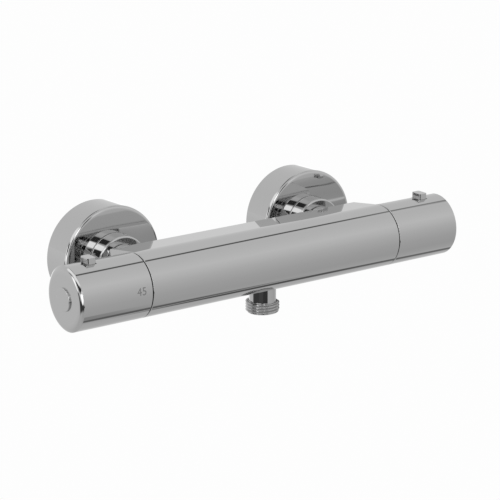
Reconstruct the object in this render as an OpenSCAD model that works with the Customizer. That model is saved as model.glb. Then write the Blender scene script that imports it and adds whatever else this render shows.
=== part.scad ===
// Wall-hung thermostatic shower valve: a round bar between two wall unions,
// a temperature handle on the left end and a flow handle on the right end.
// Millimetres. Origin: wall face, midway between the two wall tails.
// +X right along the bar, +Y into the wall, +Z up.

/* [Layout] */
// Distance between the two inlets
inlet_pitch = 150; // [146:1:160]
// Distance from the wall face to the axis of the bar
axis_to_wall = 75; // [74:0.5:84]
// Height of the bar above the wall tails, set by the eccentric unions
union_offset = 6; // [3:0.5:6.5]

/* [Body] */
// Diameter of the bar
bar_d = 39.4; // [39:0.1:42]
// Length of the body beyond each inlet
end_beyond_inlet = 17.5; // [17:0.5:20]
// Distance from the bar's axis to its flat back
back_y = 29; // [28:0.5:30]
// Fall of the flat top and rise of the flat underside towards the back, degrees
top_fall = 8.5; // [7:0.5:9]
// Radius of the two back corners
back_corner_r = 3; // [2:0.5:4]
// Diameter of the two inlet bosses
boss_d = 25.6; // [25:0.1:27]

/* [Waterways] */
// Diameter of each cartridge chamber
chamber_d = 30; // [29.6:0.1:30.4]
// Diameter of the threaded mouth of each chamber
mouth_d = 32; // [31.6:0.1:32.4]
// Depth of the threaded mouth
mouth_depth = 10; // [9:0.5:11]
// Depth of the temperature chamber
temperature_chamber_len = 50; // [49.5:0.5:52]
// Depth of the flow chamber
flow_chamber_len = 36.5; // [36:0.5:38]
// Diameter of the mixed-water gallery
mixed_gallery_d = 16; // [14:0.5:17]
// Diameter of the cold gallery behind the chambers and of the outlet gallery under them
side_gallery_d = 7; // [6:0.5:7]
// Diameter of the passage from each inlet boss
inlet_passage_d = 12; // [10:0.5:13]

/* [Handles] */
// Length of each handle
handle_len = 48.4; // [46:0.2:54]
// Open seam between handle and body
seam_gap = 0.6; // [0.4:0.1:1]
// Rounding of the handle's outer end
handle_end_r = 4; // [2.5:0.5:5]
// Wall of the handle
handle_wall = 2.4; // [2:0.1:2.6]
// Diameter of the cap on the handle's end
cap_d = 14.2; // [13.6:0.1:15]
// How far the cap stands proud
cap_proud = 1; // [0.6:0.1:1.5]

/* [Stop buttons] */
// Length of the button along the bar
button_len = 5.8; // [5:0.1:7]
// Width of the button round the handle
button_w = 8.2; // [7:0.1:9]
// Height of the button above the handle
button_h = 3.3; // [2.8:0.1:3.6]
// Wall of the hollow button head
button_wall = 0.8; // [0.6:0.1:1.2]
// Travel of the button when pressed
button_travel = 1.5; // [1:0.1:1.5]
// Distance from the handle's outer end to the middle of the button
button_from_end = 16.8; // [16:0.2:20]

/* [Wall unions] */
// Diameter of the union's round barrel and of the union nut
barrel_d = 34.8; // [34:0.2:36]
// Reach of the barrel's shoulder from the wall
shoulder_reach = 24.5; // [24:0.5:26]
// Length of the union nut
nut_len = 9.4; // [9:0.2:11]
// Outer diameter of the parallel half-inch pipe thread
half_inch_d = 20.96; // [20.9:0.02:21]
// Outer diameter of the parallel three-quarter-inch pipe thread
three_quarter_inch_d = 26.44; // [26.3:0.02:26.6]
// Length of the wall tail behind the wall face
wall_tail_len = 18; // [15:1:30]

/* [Wall plates] */
// Diameter of each wall plate
plate_d = 68; // [64:1:76]
// Distance from the plate's face at the barrel to the barrel's shoulder
face_set_back = 0.6; // [0.4:0.1:2]
// Rise of the plate's face from its rim to the barrel
face_rise = 1; // [0.5:0.1:1.5]
// Rounding of the plate's rim
plate_rim_r = 2.2; // [1.6:0.1:3]
// Sheet thickness of the wall plate
plate_wall = 1.2; // [1:0.1:1.5]

/* [Outlet] */
// Diameter of the outlet's smooth neck
outlet_neck_d = 16.8; // [16:0.2:18]
// Distance from the bar's axis to the outlet's shoulder
outlet_shoulder = 26.5; // [24:0.5:30]
// Distance from the bar's axis to the end of the outlet
outlet_reach = 33; // [32:0.5:40]
// Bore of the outlet
outlet_bore_d = 12; // [10:0.5:13]

/* [Hidden] */
$fn = 96;

// Overrun of every cut past the face that it opens
over = 1;
// Running clearance of a turning or sliding fit, on the radius
run_gap = 0.08;
// Clearance of a snug fit between fixed pieces, on the radius
snug_gap = 0.05;
// Clearance between fixed pieces that slip together, on the radius
slip_gap = 0.1;
// Clearance between faces that pass each other
pass_gap = 0.3;
// Gap between two faces that are pressed together
face_gap = 0.1;

// Body stations along the bar, from its middle
bar_r = bar_d / 2;
inlet_x = inlet_pitch / 2;
body_half = inlet_x + end_beyond_inlet;
chamber_r = chamber_d / 2;
mouth_r = mouth_d / 2;
mouth_z = body_half - mouth_depth;
temperature_chamber_in = body_half - temperature_chamber_len;
flow_chamber_in = body_half - flow_chamber_len;
mixed_gallery_r = mixed_gallery_d / 2;
side_gallery_r = side_gallery_d / 2;
inlet_passage_r = inlet_passage_d / 2;
// Least wall between two waterways, and between the cold gallery and the mouth's thread
waterway_wall = 2;
mouth_wall = 1.5;
cold_gallery_y = mouth_r + side_gallery_r + mouth_wall;
outlet_gallery_z = -(mixed_gallery_r + waterway_wall + side_gallery_r);
back_corner_y = back_y - back_corner_r;
back_corner_z = (bar_r - back_corner_r - back_corner_y * sin(top_fall)) / cos(top_fall);
plug_len = 4;
plug_sink = 0.3;

// Inlet stations, from the wall face towards the bar
boss_r = boss_d / 2;
barrel_r = barrel_d / 2;
half_inch_r = half_inch_d / 2;
three_quarter_inch_r = three_quarter_inch_d / 2;
back_reach = axis_to_wall - back_y;
barrel_start = 4;
nut_start = shoulder_reach + face_gap;
nut_end = nut_start + nut_len;
nut_lip = 1.8;
nut_edge_r = 1.2;
boss_gap = 0.5;
boss_start = nut_end + boss_gap;
tail_flange_t = 1.6;
tail_flange_end = nut_end - nut_lip - face_gap;
tail_flange_start = tail_flange_end - tail_flange_t;
tail_flange_r = three_quarter_inch_r - pass_gap;
washer_t = 1.5;
washer_start = tail_flange_start - washer_t;
washer_bore_r = 8.2;
tail_shank_r = 11;
tail_thread_r = 9.55;
tail_bore_r = 7.8;
tail_lip_r = 6.8;
tail_lip_t = 0.8;
// How far the tail ends short of the body's flat back, and the room past it in its hole
tail_short = 0.5;
tail_hole_room = 1;
tail_end = back_reach - tail_short;
union_bore_r = 9.5;
union_tail_bore_r = 7;
union_bore_start = 8;

// Check valve, carried in the inlet tail
check_r = tail_bore_r - slip_gap;
check_bore_r = 6.6;
check_seat_r = 5;
check_seat_t = 2;
check_sink = 2.5;
check_start = tail_flange_start + check_sink;
check_end = tail_end - tail_lip_t - face_gap;
check_spider_t = 1.6;
check_hub_r = 2.4;
check_spoke_w = 1.2;
check_spokes = 4;
poppet_r = 5.8;
poppet_t = 1.8;
poppet_stem_r = 1.2;
poppet_start = check_start + check_seat_t + snug_gap;
check_spring_r = 3.4;
check_spring_wire = 0.25;
check_spring_turns = 4;

// Strainer, carried in the wall union
strainer_flange_t = 1.1;
strainer_flange_r = union_bore_r - slip_gap;
strainer_r = 7.4;
strainer_wall = 0.7;
strainer_len = 9;
strainer_slots = 10;
strainer_slot_w = 1.4;
strainer_end = washer_start - face_gap;

// Wall plate
plate_r = plate_d / 2;
plate_hole_r = barrel_r + pass_gap;
plate_front = shoulder_reach - face_set_back;
plate_depth = plate_front - face_rise;
face_r = plate_r - plate_rim_r;
plate_ring_r = 1.15;
plate_ring_gap = 0.1;

// Cartridge outsides, the same at both ends, from the middle of the bar
cartridge_gap = 0.2;
cartridge_r = chamber_r - cartridge_gap;
flange_r = mouth_r - cartridge_gap;
flange_t = 2.5;
flange_end = mouth_z + flange_t;
neck_r = 11;
neck_reach = 13.5;
neck_end = body_half + neck_reach;
cartridge_nut_r = mouth_r - slip_gap;
cartridge_nut_bore_r = neck_r + slip_gap;
// How far the nut's thread ends inside the body, and its hexagon's reach and corners
thread_inset = 0.5;
hexagon_reach = 5.5;
hexagon_inset = 0.4;
cartridge_nut_thread_end = body_half - thread_inset;
cartridge_nut_end = body_half + hexagon_reach;
cartridge_nut_hex_r = mouth_r - hexagon_inset;
stop_ring_gap = 1;
stop_ring_wall = 1;
stop_ring_start = cartridge_nut_end + stop_ring_gap;
stop_ring_r = neck_r + stop_ring_wall;
// Turn from the button's rest place to the middle of the lug, and the lug's half width
stop_lug_turn = 24;
stop_lug_half = 8;
housing_ring_wire = 0.9;
housing_groove_r = chamber_r - 2 * housing_ring_wire;

// Spindles, the same outside both cartridges
spindle_r = 5;
spindle_bearing_len = 7;
spindle_bore_start = neck_end - spindle_bearing_len;
spindle_ring_wire = 0.6;
spindle_groove_r = spindle_r + snug_gap - 2 * spindle_ring_wire;
spindle_ring_depth = 3;
spindle_ring_z = neck_end - spindle_ring_depth;
spline_r = 4.9;
spline_sides = 12;
spline_len = 15;
spindle_plain_len = 7;
spline_start = neck_end + spindle_plain_len;
spindle_end = spline_start + spline_len;
screw_r = 2;
screw_hold_len = 8;
screw_start = spindle_end - screw_hold_len;
screw_hole_room = 4;
screw_head_r = 3.8;
screw_head_t = 3;
screw_socket_r = 1.9;
screw_socket_depth = 1.8;

// Handles, from the middle of the bar
handle_in = body_half + seam_gap;
handle_out = handle_in + handle_len;
cavity_r = bar_r - handle_wall;
end_wall = 4;
cavity_end = handle_out - end_wall;
hub_r = 8.2;
hub_start = spline_start + face_gap;
socket_room = 0.5;
socket_end = spindle_end + socket_room;
cap_lip = 0.2;
counterbore_r = cap_d / 2 - cap_lip;
counterbore_depth = 7.5;
counterbore_start = handle_out - counterbore_depth;
handle_edge_r = 0.4;
cap_plug_r = counterbore_r - slip_gap;
cap_plug_len = 3.5;
cap_edge_r = 0.35;

// Stop buttons, in their upright rest place
button_z = handle_out - button_from_end;
button_gap = 0.25;
button_edge_r = 1;
plate_gap = 1.1;
button_plate_t = 1.2;
button_plate_top = cavity_r - plate_gap;
button_plate_bottom = button_plate_top - button_plate_t;
button_plate_lip = 1.2;
button_plate_side_lip = 0.9;
button_plate_len = button_len + 2 * button_plate_lip;
button_plate_w = button_w + 2 * button_plate_side_lip;
button_arm_w = 5;
button_nose_len = 4;
button_nose_drop = 0.3;
button_nose_inset = 2.5;
button_nose_z = stop_ring_start + button_nose_inset;
// The lug stands just under the nose of a pressed button
stop_lug_r = button_plate_bottom - button_nose_drop - button_travel - slip_gap;
button_window_sink = 0.4;
button_window_top = bar_r + button_h - button_wall;
button_window_bottom = bar_r - button_window_sink;
button_spigot_r = 1.4;
button_spigot_len = 2;
button_spring_r = 2.2;
button_spring_wire = 0.35;
button_spring_turns = 5;

// Temperature cartridge insides, from the middle of the bar
housing_end_gap = 0.5;
housing_in = temperature_chamber_in + housing_end_gap;
housing_lip_t = 2.5;
housing_lip_r = 7;
hot_seat_inset = 3.5;
hot_seat_z = mouth_z - hot_seat_inset;
seat_span = 19.2;
cold_seat_z = hot_seat_z - seat_span;
cold_seat_r = 10;
shuttle_bore_r = 12;
cold_port_len = 4.7;
hot_port_len = 5.5;
port_w = 9;
ports = 4;
// Rings stand behind the cold seat's chamber, between the two rows of ports and past the hot ones
inner_ring_inset = 6;
middle_ring_inset = 8;
outer_ring_inset = 2;
temperature_ring_z = [
    housing_in + inner_ring_inset, cold_seat_z + middle_ring_inset, hot_seat_z + outer_ring_inset];
shuttle_r = shuttle_bore_r - run_gap;
shuttle_wall = 1.5;
// Openings at the two seats with the handle at rest
cold_opening = 1.2;
hot_opening = 1.8;
shuttle_start = cold_seat_z + cold_opening;
shuttle_end = hot_seat_z - hot_opening;
web_inset = 6.2;
web_start = cold_seat_z + web_inset;
web_t = 3;
web_end = web_start + web_t;
web_holes = 6;
web_hole_r = 1.3;
web_hole_pitch_r = 8.5;
bulb_r = 5;
bulb_inset = 2.8;
bulb_start = housing_in + bulb_inset;
element_collar_r = 7;
element_collar_t = 2;
element_neck_r = 4;
element_neck_len = 4;
element_pin_r = 2;
thrust_collar_r = 7.5;
thrust_collar_t = 2.1;
thrust_collar_end = spindle_bore_start - face_gap;
driver_r = 8;
driver_flat = 6.5;
driver_seat_gap = 0.8;
driver_end_room = 2.8;
driver_start = hot_seat_z + driver_seat_gap;
driver_end = thrust_collar_end - thrust_collar_t - driver_end_room;
driver_thread_len = 6;
driver_cup_r = 5.5;
driver_cup_end = driver_end - driver_thread_len;
// The chamber of the driver ends in a round stretch for the thrust collar
driver_round_end_len = 3;
lead_screw_r = 3.5;
lead_screw_inset = 0.6;
lead_screw_start = driver_cup_end + lead_screw_inset;
overload_seat_r = 5.3;
overload_seat_t = 1.4;
overload_seat_start = driver_start + face_gap;
overload_spring_r = 4.3;
overload_spring_wire = 0.6;
overload_spring_turns = 3;
return_spring_r = 8;
return_spring_wire = 0.8;
return_spring_turns = 5;

// Flow cartridge insides, from the middle of the bar
flow_seal_start = flow_chamber_in + face_gap;
flow_seal_t = 3.9;
flow_housing_gap = 1.5;
flow_housing_in = flow_chamber_in + flow_housing_gap;
fixed_disc_start = flow_seal_start + flow_seal_t;
disc_t = 3.5;
moving_disc_start = fixed_disc_start + disc_t + snug_gap;
moving_disc_end = moving_disc_start + disc_t;
disc_wall = 2.7;
disc_bore_r = chamber_r - disc_wall;
fixed_disc_r = disc_bore_r - snug_gap;
moving_disc_r = disc_bore_r - pass_gap;
disc_window_in_r = 3.5;
disc_window_out_r = 9.5;
disc_window_angle = 80;
half_turn = 180;
seal_bore_r = 9.8;
dog_len = 1.5;
dog_w = 5;
dog_t = 1.25;
dog_r = (disc_window_out_r + moving_disc_r) / 2;
carrier_start = moving_disc_end + dog_len;
carrier_t = 1.5;
carrier_end = carrier_start + carrier_t;
thrust_washer_t = 1.8;
thrust_washer_bore_r = 8.3;
disc_bore_end = carrier_end + face_gap + thrust_washer_t;
relief_r = 8;
flow_port_lap = 0.5;
flow_port_start = moving_disc_end - flow_port_lap;
flow_port_len = 3;
outlet_gallery_end = flow_port_start + flow_port_len;
flow_ring_inset = 2.5;
flow_ring_z = [flow_housing_in + flow_ring_inset, mouth_z - flow_ring_inset];

// Outlet, down from the bar's axis
outlet_neck_r = outlet_neck_d / 2;
outlet_bore_r = outlet_bore_d / 2;
outlet_hole_r = outlet_neck_r + snug_gap;
// The neck reaches just past the middle of the outlet gallery
outlet_lap = 0.2;
outlet_start = -outlet_gallery_z - outlet_lap;
outlet_hole_end = outlet_start - face_gap;
outlet_chamfer = 0.7;
outlet_ring_wire = 0.8;
outlet_groove_r = outlet_neck_r - 2 * outlet_ring_wire;
outlet_ring_depth = 4.2;
outlet_ring_z = bar_r - outlet_ring_depth;

// Sides of a spring's wire, and its steps in one turn
coil_sides = 6;
coil_steps = 10;
// Facets of small round edges and of rubber rings
fine = 32;

// Places the children at one end of the bar: local +Z points outwards, +X up and +Y to the wall
module at_end(side) {
    translate([0, -axis_to_wall, union_offset])
        mirror([side > 0 ? 1 : 0, 0, 0])
            rotate([0, -90, 0])
                children();
}

// Places the children on one inlet's axis: local +Z runs from the wall face to the bar
module at_inlet(side) {
    translate([side * inlet_x, 0, union_offset])
        rotate([90, 0, 0])
            children();
}

// Places the children on the outlet's axis: local +Z points down from the bar's axis
module at_outlet() {
    translate([0, -axis_to_wall, union_offset])
        rotate([180, 0, 0])
            children();
}

// Plain solid cylinder between two stations
module rod(r, from, to) {
    translate([0, 0, from])
        cylinder(r = r, h = to - from);
}

// Tube between two stations
module tube(r, bore_r, from, to) {
    difference() {
        rod(r, from, to);
        rod(bore_r, from - over, to + over);
    }
}

// Rubber ring of round section, centred at a station
module o_ring(mid_r, wire_r, z) {
    translate([0, 0, z])
        rotate_extrude()
            translate([mid_r, 0])
                circle(r = wire_r, $fn = fine);
}

// Square groove for a rubber ring, as a cutter half as wide again as the ring
module ring_groove(outer_r, floor_r, wire_r, z) {
    width = 3 * wire_r;
    tube(outer_r + over, floor_r, z - width / 2, z + width / 2);
}

// Flat bars from the axis outwards, spaced evenly round it: cutters or spokes
module radial_bars(count, width, depth_r, from, to, turn = 0) {
    for (k = [0 : count - 1])
        rotate([0, 0, turn + k * 360 / count])
            translate([0, -width / 2, from])
                cube([depth_r, width, to - from]);
}

// Coil spring between two stations, one unbroken tube of six sides
module coil(mid_r, wire_r, from, to, turns) {
    sides = coil_sides;
    steps = turns * coil_steps;
    rise = (to - from - 2 * wire_r) / steps;
    points = [
        for (k = [0 : steps], s = [0 : sides - 1])
            let (turn = k * 360 * turns / steps, r = mid_r + wire_r * cos(s * 360 / sides))
                [r * cos(turn), r * sin(turn), from + wire_r + k * rise + wire_r * sin(s * 360 / sides)]];
    skin = [
        for (k = [0 : steps - 1], s = [0 : sides - 1])
            let (a = k * sides + s, b = k * sides + (s + 1) % sides)
                each [[a, a + sides, b + sides], [a, b + sides, b]]];
    start_cap = [for (s = [1 : sides - 2]) [0, s, s + 1]];
    last = steps * sides;
    end_cap = [for (s = [1 : sides - 2]) [last, last + s + 1, last + s]];
    polyhedron(points = points, faces = concat(skin, start_cap, end_cap));
}

// Outline of the bar across its axis: round at the front, tapering to a flat back
module bar_outline() {
    tangent = bar_r * [sin(top_fall), cos(top_fall)];
    corner = [back_corner_y, back_corner_z];
    corner_top = corner + back_corner_r * [sin(top_fall), cos(top_fall)];
    circle(r = bar_r);
    polygon([
        [0, tangent[1]], tangent, corner_top, corner, [corner[0], -corner[1]],
        [corner_top[0], -corner_top[1]], [tangent[0], -tangent[1]], [0, -tangent[1]]]);
    for (rise = [-1, 1])
        translate([corner[0], rise * corner[1]])
            circle(r = back_corner_r);
    translate([corner[0] - over, -corner[1]])
        square([back_corner_r + over, 2 * corner[1]]);
}

// Body: one chromed brass casting with two chambers and its waterways

module body() {
    color("gainsboro")
        difference() {
            union() {
                translate([-body_half, -axis_to_wall, union_offset])
                    rotate([90, 0, 90])
                        linear_extrude(2 * body_half)
                            bar_outline();
                for (side = [-1, 1])
                    at_inlet(side)
                        rod(boss_r, boss_start, back_reach + over);
            }
            at_end(-1)
                chamber(temperature_chamber_in);
            at_end(1)
                chamber(flow_chamber_in);
            at_end(1)
                rod(mixed_gallery_r, -temperature_chamber_in - over, flow_chamber_in + over);
            inlet_cuts();
            cold_gallery_cuts();
            outlet_cuts();
        }
}

module chamber(inner_z) {
    rod(chamber_r, inner_z, body_half + over);
    rod(mouth_r, mouth_z, body_half + over);
}

// Threaded boss holes, and the passages behind them
module inlet_cuts() {
    for (side = [-1, 1])
        at_inlet(side)
            rod(tail_thread_r + snug_gap, boss_start - over, tail_end + tail_hole_room);
    at_inlet(-1)
        rod(inlet_passage_r, back_reach, axis_to_wall - chamber_r + over);
    at_inlet(1)
        rod(inlet_passage_r, back_reach, axis_to_wall - cold_gallery_y);
}

// Cold water runs behind the flow chamber to the temperature cartridge
module cold_gallery_cuts() {
    cold_port_z = cold_seat_z + cold_port_len / 2;
    translate([-cold_port_z, cold_gallery_y - axis_to_wall, union_offset])
        rotate([0, 90, 0])
            cylinder(r = side_gallery_r, h = cold_port_z + body_half + over);
    translate([-cold_port_z, cold_gallery_y - axis_to_wall, union_offset])
        rotate([90, 0, 0])
            cylinder(r = side_gallery_r, h = cold_gallery_y - chamber_r + over);
}

// Mixed water leaves the flow cartridge along a gallery to the outlet in the middle
module outlet_cuts() {
    translate([-side_gallery_r, -axis_to_wall, union_offset + outlet_gallery_z])
        rotate([0, 90, 0])
            cylinder(r = side_gallery_r, h = side_gallery_r + outlet_gallery_end);
    at_outlet()
        rod(outlet_hole_r, outlet_hole_end, bar_r + over);
}

module gallery_plug() {
    color("darkgoldenrod")
        translate([body_half - plug_len - plug_sink, cold_gallery_y - axis_to_wall, union_offset])
            rotate([0, 90, 0])
                cylinder(r = side_gallery_r, h = plug_len);
}

// Handles and what turns with them

// Half section of the handle's shell, hub and end
module handle_outline() {
    edge_z = handle_in + handle_edge_r;
    fillet_z = handle_out - handle_end_r;
    difference() {
        union() {
            translate([0, edge_z])
                square([bar_r, fillet_z - edge_z]);
            translate([0, handle_in])
                square([bar_r - handle_edge_r, fillet_z - handle_in]);
            translate([bar_r - handle_edge_r, edge_z])
                circle(r = handle_edge_r, $fn = fine);
            translate([0, fillet_z - over])
                square([bar_r - handle_end_r, handle_end_r + over]);
            translate([bar_r - handle_end_r, fillet_z])
                circle(r = handle_end_r);
        }
        translate([hub_r, handle_in - over])
            square([cavity_r - hub_r, cavity_end - handle_in + over]);
        translate([-over, handle_in - over])
            square([hub_r + 2 * over, hub_start - handle_in + over]);
        translate([-over, hub_start - over])
            square([over + screw_r + pass_gap, handle_out - hub_start + 2 * over]);
        translate([0, counterbore_start])
            square([counterbore_r, counterbore_depth + over]);
    }
}

module handle() {
    window_w = button_w + 2 * button_gap;
    window_len = button_len + 2 * button_gap;
    difference() {
        rotate_extrude()
            handle_outline();
        translate([0, 0, hub_start - over])
            cylinder(r = spline_r + slip_gap, h = socket_end - hub_start + over, $fn = spline_sides);
        translate([cavity_r - over, -window_w / 2, button_z - window_len / 2])
            cube([handle_wall + 2 * over, window_w, window_len]);
    }
}

module handle_screw() {
    difference() {
        union() {
            rod(screw_r, screw_start, counterbore_start + over);
            rod(screw_head_r, counterbore_start, counterbore_start + screw_head_t);
        }
        translate([0, 0, counterbore_start + screw_head_t - screw_socket_depth])
            cylinder(r = screw_socket_r, h = screw_socket_depth + over, $fn = 6);
    }
}

module handle_cap() {
    rotate_extrude()
        union() {
            translate([0, handle_out - cap_plug_len])
                square([cap_plug_r, cap_plug_len + cap_proud / 2]);
            translate([0, handle_out])
                square([cap_d / 2, cap_proud - cap_edge_r]);
            translate([0, handle_out])
                square([cap_d / 2 - cap_edge_r, cap_proud]);
            translate([cap_d / 2 - cap_edge_r, handle_out + cap_proud - cap_edge_r])
                circle(r = cap_edge_r, $fn = fine);
        }
}

// Button head, retaining plate, and the arm that reaches in to the stop ring
module stop_button() {
    arm_end = button_z + button_plate_len / 2;
    difference() {
        union() {
            translate([button_plate_top - over / 2, 0, button_z - button_len / 2])
                rotate([0, 90, 0])
                    translate([-button_len, 0, 0])
                        linear_extrude(bar_r + button_h - button_plate_top + over / 2)
                            rounded_rectangle(button_len, button_w, button_edge_r);
            translate([button_plate_bottom, -button_plate_w / 2, button_z - button_plate_len / 2])
                cube([button_plate_t, button_plate_w, button_plate_len]);
            translate([button_plate_bottom, -button_arm_w / 2, button_nose_z])
                cube([button_plate_t, button_arm_w, arm_end - button_nose_z]);
            translate([button_plate_bottom - button_nose_drop, -button_arm_w / 2, button_nose_z])
                cube([button_plate_t, button_arm_w, button_nose_len]);
            translate([button_plate_bottom - button_spigot_len, 0, button_z])
                rotate([0, 90, 0])
                    cylinder(r = button_spigot_r, h = button_spigot_len + button_plate_t / 2);
        }
        translate([button_window_bottom, -button_w / 2 + button_wall, button_z - button_len])
            cube([button_window_top - button_window_bottom, button_w - 2 * button_wall, 2 * button_len]);
    }
}

// Rectangle from the origin along +X, centred on Y, with round corners
module rounded_rectangle(len, w, r) {
    translate([r, -w / 2])
        square([len - 2 * r, w]);
    translate([0, -w / 2 + r])
        square([len, w - 2 * r]);
    for (x = [r, len - r], y = [-w / 2 + r, w / 2 - r])
        translate([x, y])
            circle(r = r, $fn = fine);
}

// Light spring between the handle's hub and the button's plate
module button_spring() {
    translate([0, 0, button_z])
        rotate([0, 90, 0])
            coil(button_spring_r, button_spring_wire, hub_r + face_gap, button_plate_bottom - face_gap,
                button_spring_turns);
}

module temperature_handle() {
    color("silver")
        at_end(-1)
            handle();
}

module temperature_handle_screw() {
    color("dimgray")
        at_end(-1)
            handle_screw();
}

module temperature_handle_cap() {
    color("silver")
        at_end(-1)
            handle_cap();
}

module temperature_stop_button() {
    color("silver")
        at_end(-1)
            stop_button();
}

module temperature_button_spring() {
    color("slategray")
        at_end(-1)
            button_spring();
}

module flow_handle() {
    color("silver")
        at_end(1)
            handle();
}

module flow_handle_screw() {
    color("dimgray")
        at_end(1)
            handle_screw();
}

module flow_handle_cap() {
    color("silver")
        at_end(1)
            handle_cap();
}

module flow_stop_button() {
    color("silver")
        at_end(1)
            stop_button();
}

module flow_button_spring() {
    color("slategray")
        at_end(1)
            button_spring();
}

// Cartridge pieces that both ends share

// Ring on the cartridge's neck, with the lug that marks the button's stop
module stop_ring(turn) {
    difference() {
        union() {
            rod(stop_ring_r, stop_ring_start, neck_end);
            intersection() {
                rod(stop_lug_r, stop_ring_start, neck_end);
                rotate([0, 0, turn])
                    linear_extrude(neck_end + over)
                        sector(stop_lug_r, stop_lug_half);
            }
        }
        rod(neck_r + snug_gap, stop_ring_start - over, neck_end + over);
    }
}

// Wedge from the axis, wider than a circle of the radius, open by the half angle each way
module sector(r, half) {
    polygon([[0, 0], 2 * r * [cos(half), -sin(half)], 2 * r * [cos(half), sin(half)]]);
}

module cartridge_nut() {
    difference() {
        union() {
            rod(cartridge_nut_r, flange_end, cartridge_nut_thread_end);
            translate([0, 0, cartridge_nut_thread_end - over])
                cylinder(r = cartridge_nut_hex_r, h = hexagon_reach + thread_inset + over, $fn = 6);
        }
        rod(cartridge_nut_bore_r, flange_end - over, cartridge_nut_end + over);
    }
}

// Part of a spindle outside its cartridge: seal groove, spline and screw hole
module spindle_outside() {
    difference() {
        union() {
            rod(spindle_r, spindle_bore_start - over, spline_start);
            translate([0, 0, spline_start - over])
                cylinder(r = spline_r, h = spindle_end - spline_start + over, $fn = spline_sides);
        }
        ring_groove(spindle_r, spindle_groove_r, spindle_ring_wire, spindle_ring_z);
        rod(screw_r + slip_gap, screw_start - screw_hole_room, spindle_end + over);
    }
}

module spindle_ring() {
    o_ring(spindle_groove_r + spindle_ring_wire, spindle_ring_wire, spindle_ring_z);
}

module temperature_stop_ring() {
    color("white")
        at_end(-1)
            stop_ring(stop_lug_turn);
}

module flow_stop_ring() {
    color("white")
        at_end(1)
            stop_ring(-stop_lug_turn);
}

module temperature_cartridge_nut() {
    color("goldenrod")
        at_end(-1)
            cartridge_nut();
}

module flow_cartridge_nut() {
    color("goldenrod")
        at_end(1)
            cartridge_nut();
}

// Temperature cartridge: a wax element moves the shuttle between the hot and the cold seat

// Round bar with two flats, so that it slides but can't turn
module flatted_rod(r, flat, from, to) {
    intersection() {
        rod(r, from, to);
        translate([-r, -flat, from])
            cube([2 * r, 2 * flat, to - from]);
    }
}

// Chamber that keeps the driver from turning, with a round end for the thrust collar
module driver_chamber() {
    r = driver_r + run_gap;
    flatted_rod(r, driver_flat + run_gap, hot_seat_z - over, spindle_bore_start);
    rod(r, spindle_bore_start - driver_round_end_len, spindle_bore_start);
}

module temperature_cartridge_housing() {
    color("khaki")
        at_end(-1)
            difference() {
                union() {
                    rod(cartridge_r, housing_in, flange_end);
                    rod(flange_r, mouth_z, flange_end);
                    rod(neck_r, flange_end - over, neck_end);
                }
                rod(housing_lip_r, housing_in - over, housing_in + housing_lip_t + over);
                rod(cold_seat_r, housing_in + housing_lip_t, cold_seat_z + over);
                rod(shuttle_bore_r, cold_seat_z, hot_seat_z);
                driver_chamber();
                rod(spindle_r + run_gap, spindle_bore_start - over, neck_end + over);
                radial_bars(ports, port_w, 2 * cartridge_r, cold_seat_z, cold_seat_z + cold_port_len);
                radial_bars(ports, port_w, 2 * cartridge_r, hot_seat_z - hot_port_len, hot_seat_z);
                for (z = temperature_ring_z)
                    ring_groove(cartridge_r, housing_groove_r, housing_ring_wire, z);
            }
}

module temperature_cartridge_rings() {
    color("black")
        at_end(-1)
            for (z = temperature_ring_z)
                o_ring(housing_groove_r + housing_ring_wire, housing_ring_wire, z);
}

module temperature_spindle() {
    color("darkkhaki")
        at_end(-1)
            union() {
                spindle_outside();
                rod(lead_screw_r, lead_screw_start, thrust_collar_end);
                rod(thrust_collar_r, thrust_collar_end - thrust_collar_t, thrust_collar_end);
                rod(spindle_r, thrust_collar_end - over, spindle_bore_start);
            }
}

module temperature_spindle_ring() {
    color("black")
        at_end(-1)
            spindle_ring();
}

// Nut on the lead screw: it can't turn, so the spindle moves it along
module regulator_driver() {
    color("peru")
        at_end(-1)
            difference() {
                flatted_rod(driver_r, driver_flat, driver_start, driver_end);
                rod(driver_cup_r, driver_start - over, driver_cup_end);
                rod(lead_screw_r + run_gap, driver_cup_end - over, driver_end + over);
            }
}

module overload_spring() {
    color("slategray")
        at_end(-1)
            coil(overload_spring_r, overload_spring_wire, overload_seat_start + overload_seat_t + snug_gap,
                driver_cup_end - snug_gap, overload_spring_turns);
}

module overload_spring_seat() {
    color("peru")
        at_end(-1)
            rod(overload_seat_r, overload_seat_start, overload_seat_start + overload_seat_t);
}

// Sealed capsule of wax: its pin pushes on the overload spring's seat
module wax_element() {
    color("chocolate")
        at_end(-1)
            union() {
                rod(bulb_r, bulb_start, web_end + over);
                rod(element_collar_r, web_end, web_end + element_collar_t);
                rod(element_neck_r, web_end, web_end + element_collar_t + element_neck_len);
                rod(element_pin_r, web_end, overload_seat_start);
            }
}

module mixing_shuttle() {
    color("whitesmoke")
        at_end(-1)
            difference() {
                union() {
                    tube(shuttle_r, shuttle_r - shuttle_wall, shuttle_start, shuttle_end);
                    rod(shuttle_r - shuttle_wall / 2, web_start, web_end);
                }
                rod(bulb_r + snug_gap, web_start - over, web_end + over);
                for (k = [0 : web_holes - 1])
                    rotate([0, 0, k * 360 / web_holes])
                        translate([web_hole_pitch_r, 0, 0])
                            rod(web_hole_r, web_start - over, web_end + over);
            }
}

module shuttle_return_spring() {
    color("slategray")
        at_end(-1)
            coil(return_spring_r, return_spring_wire, housing_in + housing_lip_t + snug_gap,
                web_start - snug_gap, return_spring_turns);
}

// Flow cartridge: one ceramic disc turns on another to open or close the water

// Two opposite windows through a disc, as a cutter
module disc_windows(from, to, turn) {
    translate([0, 0, from])
        linear_extrude(to - from)
            for (copy = [0, 1])
                rotate([0, 0, turn + copy * half_turn])
                    intersection() {
                        difference() {
                            circle(r = disc_window_out_r);
                            circle(r = disc_window_in_r);
                        }
                        sector(disc_window_out_r, disc_window_angle / 2);
                    }
}

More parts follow.
